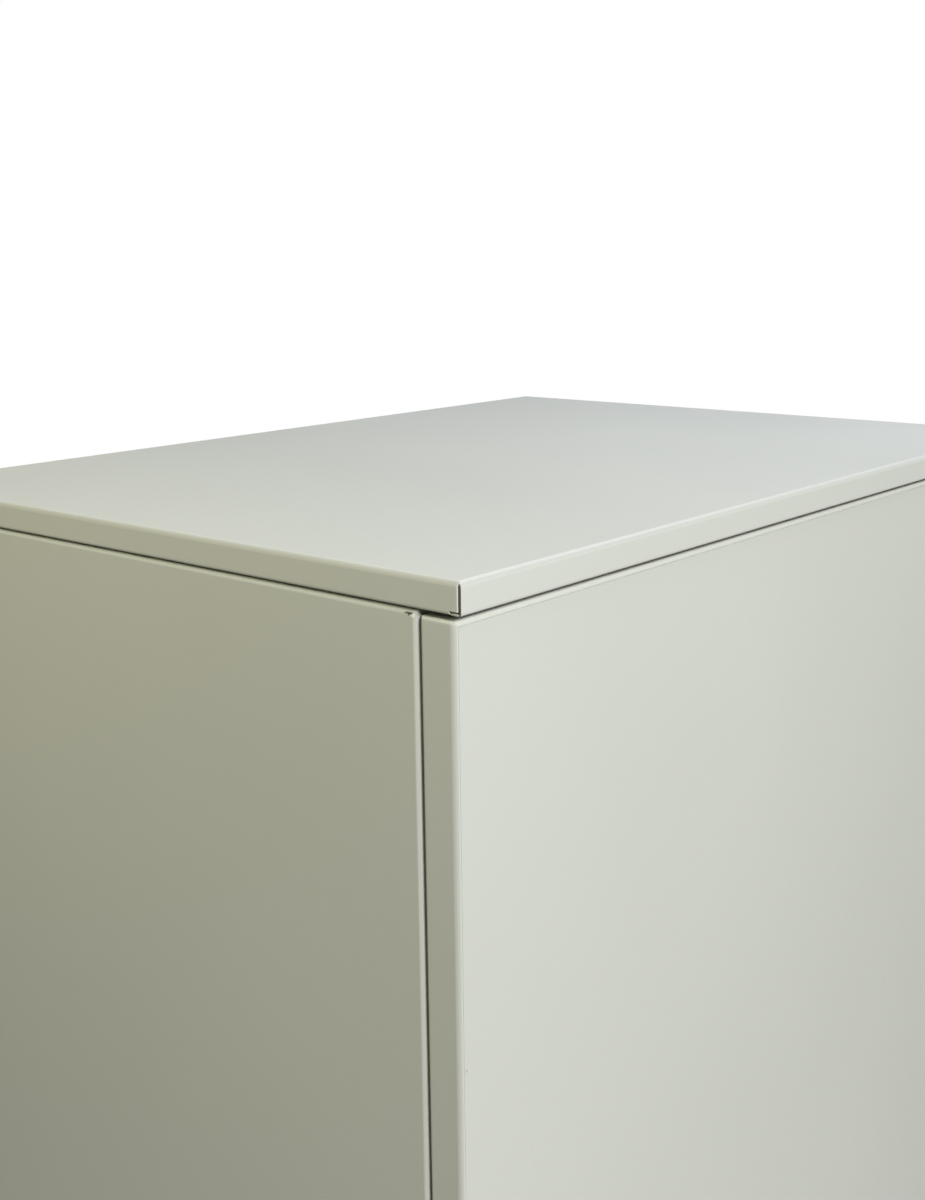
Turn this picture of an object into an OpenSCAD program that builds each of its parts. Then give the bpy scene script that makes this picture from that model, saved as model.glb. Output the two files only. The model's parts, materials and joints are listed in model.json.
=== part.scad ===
// Four-drawer steel filing cabinet, folded from sheet, with telescopic slides and a central lock.
// Millimetres. The origin is at the bottom centre, +Z is up and the drawers open toward -Y.

/* [Cabinet] */
// Width over the lid
lid_w = 450; // [440:1:470]
// Depth over the lid
lid_d = 620; // [600:1:640]
// Height of the lid's flanges
lid_h = 15.2; // [12:0.1:16]
// Gap between the lid's flanges and the side panels
reveal = 2.8; // [2:0.1:4]
// Height of the front rail that holds the lock
header_h = 35; // [33:0.1:45]
// Height of the plinth
plinth_h = 56; // [45:1:70]
// How far each side panel stands inside the lid
side_inset = 4; // [2:0.5:6]

/* [Sheet metal] */
// Thickness of the sheet
sheet = 1; // [0.8:0.1:1.2]
// Outer radius of the lid's bends
lid_bend = 2.6; // [2:0.1:4]
// Outer radius of the panel bends
panel_bend = 2.5; // [2:0.1:3.5]
// Width of the strips at the front and back corners
strip_w = 19.3; // [17:0.1:20]

/* [Drawers] */
// Distance from one drawer to the next
drawer_pitch = 302; // [295:1:310]
// Gap around each drawer front
front_gap = 3; // [2:0.5:4]
// Height of the tray walls
tray_h = 245; // [230:1:248]
// Distance between the two hanging rails
rail_spacing = 330; // [320:1:340]

/* [Handle and label] */
// Width of the recessed pull
pull_w = 124; // [90:1:160]
// Height of the recessed pull
pull_h = 40; // [34:1:48]
// Width of the label card
card_w = 76; // [60:1:90]
// Height of the label card
card_h = 36; // [25:1:38]

/* [Lock] */
// Distance from the lock's axis to the cam's pin
cam_reach = 10; // [9:0.5:11]
// Radius of the lock plug
plug_r = 5; // [4:0.5:5.5]

/* [Floor fixings] */
// Radius of each floor-fixing hole
fixing_r = 4.5; // [3:0.5:6]
// Fixing holes across the width
fixing_x = 240; // [200:5:300]
// Fixing holes across the depth
fixing_y = 400; // [300:5:440]

/* [Hidden] */
$fn = 48;

paint = [0.80, 0.81, 0.76];
zinc = [0.66, 0.68, 0.70];
nickel = [0.78, 0.78, 0.76];
black = [0.12, 0.12, 0.13];
card_white = [0.93, 0.92, 0.87];

drawers = 4;
eps = 0.01;

// Heights
foot_h = 8;
drawers_z = plinth_h + front_gap;
header_z = drawers_z + drawers * drawer_pitch;
side_top = header_z + header_h;
height = side_top + reveal + lid_h;
lid_under = height - sheet;
base_z = foot_h + sheet;

// Depths and widths of the carcass
lid_lip = 8;
face_inset = 1;
side_x = lid_w / 2 - side_inset;
post_x = side_x - strip_w;
front_y = -lid_d / 2 + face_inset;
rear_y = lid_d / 2 - face_inset;
side_bend = 2.4;
front_lip = 20;
rear_lip = 14;
ledge_w = 14;
ledge_y = rear_y - rear_lip;
proud = 0.5;

// Back panel
back_gap = 1.5;
back_w = 2 * (post_x - back_gap);
back_lip = 10;
back_drop = 0.7;
back_top = height - lid_h - back_drop;
back_bottom = base_z + 2;

// Drawer fronts, liners and trays
front_w = 2 * (post_x - front_gap);
front_h = drawer_pitch - front_gap;
front_d = 19;
face_y = front_y - proud;
liner_y = face_y + front_d;
tray_y0 = liner_y + sheet;
tray_y1 = ledge_y - 33;
tray_l = tray_y1 - tray_y0;
slide_t = 13;
tray_x = post_x - slide_t;
tray_rise = 14;
tray_bend = 2;
tray_hem = 8;

// Posts
post_w = 30;
post_y = lid_d / 2 - 40;
post_t = 1.2;

// Slides: three nested channels on each side of a drawer
slide_rise = 74;
slide_y0 = tray_y0 + 3.5;
slide_y1 = ledge_y - 31;
outer_h = 45;
outer_d = 10;
middle_h = 37;
middle_d = 6.8;
inner_h = 31;
inner_d = 7.4;
slide_sheet = 1.2;
slide_bend = 2;
member_y1 = slide_y1 - 9;

// Handle cup and label holder
pull_rise = 196;
pull_d = 16.5;
pull_wall = 1.5;
pull_grip = 12;
bezel = 4;
bezel_t = 0.4;
label_rise = 252;
holder_rim = 4;
holder_d = 3;
card_t = 0.4;

// Lock
lock_x = 180;
lock_z = header_z + header_h / 2;
housing_r = 8;
housing_end = liner_y + 0.5;
plug_gap = 0.05;
pin_r = 2;
pin_dx = cam_reach * cos(45);
bar_t = 2;
bar_x0 = 205;
bar_x1 = 219;
bar_y0 = tray_y0 + 1.5;
bar_y1 = bar_y0 + bar_t;
cam_y0 = bar_y1 + 0.5;
cam_y1 = cam_y0 + bar_t;
catch_rise = 230;
catch_h = 12;
lug_rise = catch_rise + catch_h + 1.5;
lug_h = 10;
guide_rise = 120;
guide_h = 20;
guide_gap = 0.3;

// Fasteners and feet
screw_r = 2;
screw_l = 8;
hole_r = 2.2;
lid_screw_pitch = 240;
back_screw_rise = 60;
back_screw_pitch = 290;
head_r = 3.5;
head_h = 2.2;
foot_r = 18;
foot_x = 180;
foot_y = post_y;
foot_stem = 3;

function drawer_z(n) = drawers_z + (drawers - n) * drawer_pitch;
function slide_z(n) = drawer_z(n) + slide_rise;

lid_screws_at = [for (x = [-1, 1]) for (i = [-1 : 1]) [x * (post_x + 7), i * lid_screw_pitch]];
base_screws_at = [for (x = [-1, 1]) for (y = [-200, -70, 70, 200]) [x * (post_x + 9), y]];
back_screws_at = [for (x = [-1, 1]) for (i = [0 : 4])
    [x * (post_x - 8.5), back_bottom + back_screw_rise + i * back_screw_pitch]];
feet_at = [for (x = [-1, 1]) for (y = [-1, 1]) [x * foot_x, y * foot_y]];
fixings_at = [for (x = [-1, 1]) for (y = [-1, 1]) [x * fixing_x / 2, y * fixing_y / 2]];

// A rectangle whose top corners are rounded: the outside of a folded channel
module rounded_top(w, d, r) {
    translate([-w / 2, 0]) square([w, d - r]);
    translate([-w / 2 + r, 0]) square([w - 2 * r, d]);
    for (s = [-1, 1]) translate([s * (w / 2 - r), d - r]) circle(r);
}

// Section of a channel folded from sheet, open at the bottom
module channel_2d(w, d, t, r) {
    difference() {
        rounded_top(w, d, r);
        translate([0, -t]) rounded_top(w - 2 * t, d, r - t);
    }
}

// A block whose top face has bent edges on all four sides
module face_block(w, l, d, r) {
    intersection() {
        translate([0, l / 2, 0]) rotate([90, 0, 0]) linear_extrude(l) rounded_top(w, d, r);
        translate([-w / 2, 0, 0]) rotate([90, 0, 90]) linear_extrude(w) rounded_top(l, d, r);
    }
}

// A folded pan: its face at z = d, its rim at z = 0, and lips turned in along the rim.
// lip_w is the lip along the walls at +x and -x, and lip_l the one along the walls at +y and -y.
module pan(w, l, d, t, r, lip_w = 0, lip_l = 0) {
    difference() {
        face_block(w, l, d, r);
        translate([0, 0, -1]) face_block(w - 2 * t, l - 2 * t, d - t + 1, r - t);
    }
    if (lip_w > 0)
        for (s = [-1, 1])
            translate([s * (w - lip_w) / 2, 0, t / 2]) cube([lip_w, l - 2 * t, t], center = true);
    if (lip_l > 0)
        for (s = [-1, 1])
            translate([0, s * (l - lip_l) / 2, t / 2]) cube([w - 2 * t, lip_l, t], center = true);
}

// A plate facing -Y: w by h, centred on x = 0 and on height z, from y0 back to y1
module plate_xz(w, h, y0, y1, z) {
    translate([-w / 2, y0, z - h / 2]) cube([w, y1 - y0, h]);
}

// A pan-head screw along +Z with the underside of its head at z = 0
module screw(l) {
    cylinder(h = l, r = screw_r);
    translate([0, 0, -head_h]) cylinder(h = head_h, r = head_r);
}

module both_sides() {
    children();
    mirror([1, 0, 0]) children();
}

// ---- Carcass ----

module lid() {
    slit = 0.5;
    slit_h = lid_h - 2 * lid_bend;
    color(paint)
        difference() {
            translate([0, 0, height - lid_h])
                pan(lid_w, lid_d, lid_h, sheet, lid_bend, lid_lip, lid_lip);
            // The front and back flanges stop just short of the side flanges
            for (x = [-1, 1])
                for (y = [-1, 1])
                    translate([x * (lid_w / 2 - sheet - slit / 2), y * lid_d / 2, height - lid_h + slit_h / 2])
                        cube([slit, 2 * sheet + 1, slit_h + 1], center = true);
        }
}

// The left side panel: a pan whose walls are the corner strips and whose lips turn in behind them
module side_panel() {
    panel_h = side_top - foot_h;
    ledge_inset = 12;
    color(paint)
        difference() {
            union() {
                translate([-post_x, 0, foot_h + panel_h / 2])
                    rotate([90, 0, -90])
                        pan(rear_y - front_y, panel_h, strip_w, sheet, side_bend);
                translate([-post_x - sheet, front_y, foot_h + sheet])
                    cube([sheet, front_lip, panel_h - 2 * sheet]);
                translate([-post_x - sheet, ledge_y - sheet, foot_h + sheet])
                    cube([sheet, rear_lip + sheet, panel_h - 2 * sheet]);
                // Ledge that the back panel is screwed to
                translate([-post_x - sheet, ledge_y - sheet, foot_h + ledge_inset])
                    cube([ledge_w + sheet, sheet, panel_h - 2 * ledge_inset]);
            }
            for (p = lid_screws_at)
                translate([p[0], p[1], side_top - 2 * sheet]) cylinder(h = 3 * sheet, r = hole_r);
            for (p = base_screws_at)
                translate([p[0], p[1], foot_h - sheet]) cylinder(h = 3 * sheet, r = hole_r);
            for (p = back_screws_at)
                translate([p[0], ledge_y + sheet, p[1]])
                    rotate([90, 0, 0]) cylinder(h = 3 * sheet, r = hole_r);
        }
}

module side_panel_left() side_panel();

module side_panel_right() mirror([1, 0, 0]) side_panel();

module back_panel() {
    panel_h = back_top - back_bottom;
    color(paint)
        difference() {
            translate([0, ledge_y, back_bottom + panel_h / 2])
                rotate([-90, 0, 0])
                    pan(back_w, panel_h, rear_y + proud - ledge_y, sheet, panel_bend, back_lip, back_lip);
            for (p = back_screws_at)
                translate([p[0], ledge_y + 2 * sheet, p[1]])
                    rotate([90, 0, 0]) cylinder(h = 3 * sheet, r = hole_r);
        }
}

// Floor of the carcass: a plate with a flange turned up at the front and the back
module bottom_panel() {
    y0 = bar_y0;
    y1 = ledge_y - 2 * sheet;
    w = 2 * (side_x - 2 * sheet);
    flange = 20;
    color(paint)
        difference() {
            translate([-w / 2, (y0 + y1) / 2, base_z + flange])
                rotate([90, 0, 90])
                    linear_extrude(w)
                        mirror([0, 1]) channel_2d(y1 - y0, flange, sheet, tray_bend);
            for (p = fixings_at)
                translate([p[0], p[1], base_z - sheet]) cylinder(h = 3 * sheet, r = fixing_r);
            for (p = feet_at)
                translate([p[0], p[1], base_z - sheet]) cylinder(h = 3 * sheet, r = foot_stem + 0.2);
            for (p = base_screws_at)
                translate([p[0], p[1], base_z - sheet]) cylinder(h = 3 * sheet, r = hole_r);
        }
}

// A rail across the front: a channel with its flanges turned back
module front_rail(z0, z1, y0, hole = 0) {
    w = 2 * (post_x - 0.2);
    d = tray_y0 - y0;
    color(paint)
        difference() {
            translate([-w / 2, tray_y0, (z0 + z1) / 2])
                rotate([90, 0, 90])
                    linear_extrude(w)
                        rotate(90) channel_2d(z1 - z0, d, sheet, tray_bend);
            if (hole > 0)
                translate([lock_x, y0 + 2 * sheet, lock_z])
                    rotate([90, 0, 0]) cylinder(h = 3 * sheet, r = hole);
        }
}

module plinth_rail() front_rail(base_z, plinth_h, front_y + 2);

module top_rail() front_rail(header_z, side_top, front_y, housing_r + 0.1);

// Channels between the side panels' top returns and the lid
module lid_rails() {
    rail_h = lid_under - side_top;
    rail_d = 12;
    rail_l = lid_d - 40;
    color(zinc)
        both_sides()
            difference() {
                translate([post_x + 1, rail_l / 2, side_top + rail_h / 2])
                    rotate([90, 0, 0])
                        linear_extrude(rail_l)
                            rotate(-90) channel_2d(rail_h, rail_d, sheet, tray_bend);
                for (p = lid_screws_at)
                    translate([p[0], p[1], side_top - sheet]) cylinder(h = 3 * sheet, r = hole_r);
            }
}

// Upright channels that carry the slides
module posts(y) {
    z0 = base_z + sheet;
    z1 = side_top - sheet;
    color(zinc)
        both_sides()
            translate([side_x - sheet, y, z0])
                linear_extrude(z1 - z0)
                    rotate(90) channel_2d(post_w, strip_w - sheet, post_t, slide_bend);
}

module front_posts() posts(-post_y);

module rear_posts() posts(post_y);

module feet() {
    color(black)
        for (p = feet_at)
            translate([p[0], p[1], 0]) {
                cylinder(h = 2, r1 = foot_r - 1.5, r2 = foot_r);
                translate([0, 0, 2]) cylinder(h = base_z - 2, r = foot_r);
                cylinder(h = base_z + sheet + 1, r = foot_stem);
                translate([0, 0, base_z + sheet]) cylinder(h = 2, r = foot_stem + 2);
            }
}

module lid_screws() {
    color(zinc)
        for (p = lid_screws_at) translate([p[0], p[1], side_top - sheet]) screw(screw_l);
}

module base_screws() {
    color(zinc)
        for (p = base_screws_at) translate([p[0], p[1], foot_h]) screw(screw_l);
}

module back_screws() {
    color(zinc)
        for (p = back_screws_at)
            translate([p[0], ledge_y - sheet, p[1]]) rotate([-90, 0, 0]) screw(screw_l);
}

// ---- Lock ----

module lock_housing() {
    rim_r = 10;
    rim_t = 0.8;
    clip_r = 11;
    clip_t = 3;
    color(nickel)
        translate([lock_x, 0, lock_z])
            difference() {
                union() {
                    translate([0, front_y, 0]) rotate([90, 0, 0]) cylinder(h = rim_t, r = rim_r);
                    translate([0, housing_end, 0])
                        rotate([90, 0, 0]) cylinder(h = housing_end - front_y, r = housing_r);
                    translate([0, front_y + sheet + clip_t, 0])
                        rotate([90, 0, 0]) cylinder(h = clip_t, r = clip_r);
                }
                translate([0, housing_end + 1, 0])
                    rotate([90, 0, 0])
                        cylinder(h = housing_end - front_y + 4, r = plug_r + plug_gap);
            }
}

module lock_plug() {
    plug_y0 = front_y - 0.6;
    tail = 5;
    key_w = 1.2;
    key_h = 6;
    key_d = 12;
    color(nickel)
        translate([lock_x, 0, lock_z])
            difference() {
                union() {
                    translate([0, housing_end, 0])
                        rotate([90, 0, 0]) cylinder(h = housing_end - plug_y0, r = plug_r);
                    translate([-tail / 2, housing_end, -tail / 2])
                        cube([tail, cam_y1 + 0.5 - housing_end, tail]);
                }
                translate([-key_w / 2, plug_y0 - 1, -key_h / 2]) cube([key_w, key_d + 1, key_h]);
            }
}

// The cam points up at 45 degrees when unlocked, and its pin sits in the lock bar's fork
module lock_cam() {
    cam_r = 6;
    tip_r = 4;
    tail = 5;
    pin_l = 3;
    color(zinc)
        translate([lock_x, cam_y1, lock_z])
            rotate([0, -45, 0]) {
                difference() {
                    union() {
                        rotate([90, 0, 0]) cylinder(h = bar_t, r = cam_r);
                        translate([cam_reach, 0, 0]) rotate([90, 0, 0]) cylinder(h = bar_t, r = tip_r);
                        translate([0, -bar_t, -tip_r]) cube([cam_reach, bar_t, 2 * tip_r]);
                    }
                    rotate([0, 45, 0])
                        translate([-tail / 2, -bar_t - 1, -tail / 2]) cube([tail, bar_t + 2, tail]);
                }
                translate([cam_reach, -bar_t, 0]) rotate([90, 0, 0]) cylinder(h = pin_l, r = pin_r);
            }
}

// Flat bar behind the right strip: a fork at its top and a lug over each drawer's catch
module lock_bar() {
    fork_z = lock_z + pin_dx;
    fork_h = 15;
    fork_x = lock_x + 4.5;
    slot_h = 2 * pin_r + 1;
    slot_end = lock_x + cam_reach + pin_r + 0.7;
    tail_l = 60;
    bar_z0 = drawer_z(drawers) + lug_rise - tail_l;
    lug_x = post_x - 9;
    color(zinc)
        difference() {
            union() {
                translate([bar_x0, bar_y0, bar_z0])
                    cube([bar_x1 - bar_x0, bar_t, fork_z + fork_h / 2 - bar_z0]);
                translate([fork_x, bar_y0, fork_z - fork_h / 2]) cube([bar_x1 - fork_x, bar_t, fork_h]);
                for (n = [1 : drawers])
                    translate([lug_x, bar_y0, drawer_z(n) + lug_rise]) cube([bar_x0 - lug_x, bar_t, lug_h]);
            }
            translate([fork_x - 1, bar_y0 - 1, fork_z - slot_h / 2])
                cube([slot_end - fork_x + 1, bar_t + 2, slot_h]);
        }
}

module lock_bar_guides() {
    wall = 1.2;
    cheek = 0.4;
    x0 = bar_x0 - guide_gap;
    x1 = bar_x1 + guide_gap;
    y0 = bar_y0 - guide_gap;
    y1 = -post_y - post_w / 2;
    color(black)
        for (n = [1 : drawers - 1])
            translate([0, 0, drawer_z(n) + guide_rise - guide_h / 2])
                difference() {
                    translate([x0 - cheek, y0 - wall, 0])
                        cube([x1 - x0 + 2 * cheek, y1 - y0 + wall, guide_h]);
                    translate([x0, y0, -1]) cube([x1 - x0, bar_y1 + guide_gap - y0, guide_h + 2]);
                }
}

// ---- Drawers ----

module drawer_front(n) {
    holder_w = card_w + 2 * holder_rim;
    holder_h = card_h + 2 * holder_rim;
    rim_cover = 3.4;
    cup_gap = 0.6;
    color(paint)
        difference() {
            translate([0, liner_y, drawer_z(n) + front_h / 2])
                rotate([90, 0, 0])
                    pan(front_w, front_h, front_d, sheet, panel_bend);
            plate_xz(pull_w + cup_gap, pull_h + cup_gap, face_y - 1, face_y + 2, drawer_z(n) + pull_rise);
            plate_xz(holder_w - rim_cover, holder_h - rim_cover,
                face_y - 1, face_y + 2, drawer_z(n) + label_rise);
        }
}

// Inner skin that closes the back of the drawer front
module drawer_liner(n) {
    flange = 8;
    inner_w = front_w - 2 * sheet - 0.4;
    inner_h = front_h - 2 * sheet - 0.4;
    color(paint)
        translate([0, 0, drawer_z(n) + front_h / 2]) {
            plate_xz(front_w - 2, front_h - 2, liner_y, liner_y + sheet, 0);
            difference() {
                plate_xz(inner_w, inner_h, liner_y - flange, liner_y + eps, 0);
                plate_xz(inner_w - 2 * sheet, inner_h - 2 * sheet, liner_y - flange - 1, liner_y + 1, 0);
            }
        }
}

module drawer_tray(n) {
    z0 = drawer_z(n) + tray_rise;
    catch_t = 2;
    catch_l = 10;
    color(paint) {
        translate([0, (tray_y0 + tray_y1) / 2, z0 + tray_h])
            rotate([180, 0, 0])
                pan(2 * tray_x, tray_l, tray_h, sheet, tray_bend, tray_hem);
        // Catch that the lock bar's lug drops in front of
        translate([tray_x - eps, cam_y0 + 1.5, drawer_z(n) + catch_rise]) cube([catch_l, catch_t, catch_h]);
    }
}

// Recessed pull: a cup with a grip lip hanging across the top of its mouth
module drawer_handle(n) {
    y1 = face_y + pull_d;
    color(nickel)
        translate([0, 0, drawer_z(n) + pull_rise])
            difference() {
                union() {
                    plate_xz(pull_w + 2 * bezel, pull_h + 2 * bezel, face_y - bezel_t, face_y, 0);
                    plate_xz(pull_w, pull_h, face_y - eps, y1, 0);
                }
                // Cavity behind the grip
                plate_xz(pull_w - 2 * pull_wall, pull_h - 2 * pull_wall,
                    face_y + pull_wall, y1 - pull_wall, 0);
                // Mouth below the grip
                plate_xz(pull_w - 2 * pull_wall, pull_h - 2 * pull_wall - pull_grip,
                    face_y - 1, y1 - pull_wall, -pull_grip / 2);
            }
}

module drawer_label_holder(n) {
    w = card_w + 2 * holder_rim;
    h = card_h + 2 * holder_rim;
    color(nickel)
        translate([0, 0, drawer_z(n) + label_rise])
            difference() {
                union() {
                    plate_xz(w, h, face_y - bezel_t, face_y, 0);
                    plate_xz(w - 4, h - 4, face_y - eps, face_y + holder_d, 0);
                }
                // Window
                plate_xz(card_w - 6, card_h - 6, face_y - 1, face_y + 1, 0);
                // Pocket for the card
                plate_xz(card_w + 0.4, card_h + 0.4, face_y + 0.8, face_y + 2, 0);
            }
}

module drawer_label_card(n) {
    color(card_white)
        plate_xz(card_w, card_h, face_y + 1.4, face_y + 1.4 + card_t, drawer_z(n) + label_rise);
}

// Bars for hanging folders, with a foot at each end against the tray's walls
module drawer_hanging_rails(n) {
    rail_t = 2;
    rail_h = 12;
    foot_w = 14;
    foot_drop = 10;
    y0 = tray_y0 + sheet;
    y1 = tray_y1 - sheet;
    z1 = drawer_z(n) + tray_rise + tray_h - 3;
    color(zinc)
        both_sides() {
            translate([rail_spacing / 2 - rail_t / 2, y0, z1 - rail_h]) cube([rail_t, y1 - y0, rail_h]);
            for (y = [y0, y1 - rail_t])
                translate([rail_spacing / 2 - foot_w / 2, y, z1 - rail_h - foot_drop])
                    cube([foot_w, rail_t, rail_h + foot_drop]);
        }
}

// ---- Slides ----

// A pair of slide members: a channel along Y, its open side toward the drawer or away from it
module slide_pair(n, x, y0, y1, h, d, turn) {
    color(zinc)
        both_sides()
            translate([x, y1, slide_z(n)])
                rotate([90, 0, 0])
                    linear_extrude(y1 - y0)
                        rotate(turn) channel_2d(h, d, slide_sheet, slide_bend);
}

module slide_outer(n) slide_pair(n, post_x - outer_d, slide_y0, slide_y1, outer_h, outer_d, -90);

module slide_middle(n) {
    slide_pair(n, post_x - outer_d, slide_y0 + 1, member_y1, middle_h, middle_d, -90);
}

module slide_inner(n) slide_pair(n, tray_x + inner_d, tray_y0, member_y1, inner_h, inner_d, 90);

module slide_bumpers() {
    bumper_h = 30;
    bumper_d = 9;
    color(black)
        both_sides()
            for (n = [1 : drawers])
                translate([post_x - slide_sheet - bumper_d, member_y1 + 0.4, slide_z(n) - bumper_h / 2])
                    cube([bumper_d, slide_y1 - member_y1 - 0.8, bumper_h]);
}

lid();
side_panel_left();
side_panel_right();
back_panel();
bottom_panel();
plinth_rail();
top_rail();
lid_rails();
front_posts();
rear_posts();
lock_housing();
lock_plug();
lock_cam();
lock_bar();
lock_bar_guides();
feet();
lid_screws();
back_screws();
base_screws();
slide_bumpers();
drawer_front(1);  // drawer_1_front
drawer_liner(1);  // drawer_1_liner
drawer_tray(1);  // drawer_1_tray
drawer_handle(1);  // drawer_1_handle
drawer_label_holder(1);  // drawer_1_label_holder
drawer_label_card(1);  // drawer_1_label_card
drawer_hanging_rails(1);  // drawer_1_hanging_rails
slide_inner(1);  // slide_1_inner
slide_middle(1);  // slide_1_middle
slide_outer(1);  // slide_1_outer
drawer_front(2);  // drawer_2_front
drawer_liner(2);  // drawer_2_liner
drawer_tray(2);  // drawer_2_tray
drawer_handle(2);  // drawer_2_handle
drawer_label_holder(2);  // drawer_2_label_holder
drawer_label_card(2);  // drawer_2_label_card
drawer_hanging_rails(2);  // drawer_2_hanging_rails
slide_inner(2);  // slide_2_inner
slide_middle(2);  // slide_2_middle
slide_outer(2);  // slide_2_outer
drawer_front(3);  // drawer_3_front
drawer_liner(3);  // drawer_3_liner
drawer_tray(3);  // drawer_3_tray
drawer_handle(3);  // drawer_3_handle
drawer_label_holder(3);  // drawer_3_label_holder
drawer_label_card(3);  // drawer_3_label_card
drawer_hanging_rails(3);  // drawer_3_hanging_rails
slide_inner(3);  // slide_3_inner
slide_middle(3);  // slide_3_middle
slide_outer(3);  // slide_3_outer
drawer_front(4);  // drawer_4_front
drawer_liner(4);  // drawer_4_liner
drawer_tray(4);  // drawer_4_tray
drawer_handle(4);  // drawer_4_handle
drawer_label_holder(4);  // drawer_4_label_holder
drawer_label_card(4);  // drawer_4_label_card
drawer_hanging_rails(4);  // drawer_4_hanging_rails
slide_inner(4);  // slide_4_inner
slide_middle(4);  // slide_4_middle
slide_outer(4);  // slide_4_outer
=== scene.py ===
"""Looks of the four-drawer steel filing cabinet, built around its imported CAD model.

Metres, in the CAD frame: the origin is at the bottom centre, +Z is up, and the drawers open
toward -Y. The folded sheet pieces are rebuilt with smooth bends, open corners and rounded sheet
edges. The inner frame, slides, lock and feet keep their CAD shapes and get materials.
"""

import json  # noqa: E402
import math  # noqa: E402

import bmesh  # noqa: E402
import bpy  # noqa: E402
from mathutils import Matrix, Vector  # noqa: E402


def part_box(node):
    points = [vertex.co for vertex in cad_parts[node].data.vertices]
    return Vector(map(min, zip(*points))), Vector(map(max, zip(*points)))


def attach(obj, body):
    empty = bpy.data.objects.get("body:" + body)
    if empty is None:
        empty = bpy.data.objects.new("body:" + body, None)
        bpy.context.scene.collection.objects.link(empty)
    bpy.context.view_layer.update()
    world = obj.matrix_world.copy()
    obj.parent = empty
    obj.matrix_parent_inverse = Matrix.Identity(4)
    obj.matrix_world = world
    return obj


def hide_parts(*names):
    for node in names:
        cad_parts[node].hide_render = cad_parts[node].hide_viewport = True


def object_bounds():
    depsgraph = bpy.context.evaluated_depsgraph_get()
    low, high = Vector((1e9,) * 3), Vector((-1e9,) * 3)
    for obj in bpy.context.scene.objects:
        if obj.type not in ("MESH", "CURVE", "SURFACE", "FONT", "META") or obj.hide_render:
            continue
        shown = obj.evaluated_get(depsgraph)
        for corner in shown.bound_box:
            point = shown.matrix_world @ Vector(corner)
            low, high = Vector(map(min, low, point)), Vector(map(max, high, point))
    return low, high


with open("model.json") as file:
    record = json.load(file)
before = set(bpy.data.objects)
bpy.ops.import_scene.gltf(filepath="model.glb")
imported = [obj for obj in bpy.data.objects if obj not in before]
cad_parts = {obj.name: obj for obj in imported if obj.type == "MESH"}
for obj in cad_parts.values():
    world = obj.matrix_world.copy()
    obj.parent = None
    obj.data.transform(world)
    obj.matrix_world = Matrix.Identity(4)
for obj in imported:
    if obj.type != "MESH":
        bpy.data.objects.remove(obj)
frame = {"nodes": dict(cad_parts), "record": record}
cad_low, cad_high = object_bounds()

MM = 0.001
DRAWERS = (1, 2, 3, 4)
SHEET = 1.0 * MM
HEIGHT = cad_high.z

X = Vector((1, 0, 0))
Y = Vector((0, 1, 0))
Z = Vector((0, 0, 1))


# ---------------------------------------------------------------- materials

# A Mix node's colour sockets, by number, because their names repeat
MIX_A, MIX_B, MIX_RESULT = 6, 7, 2


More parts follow.
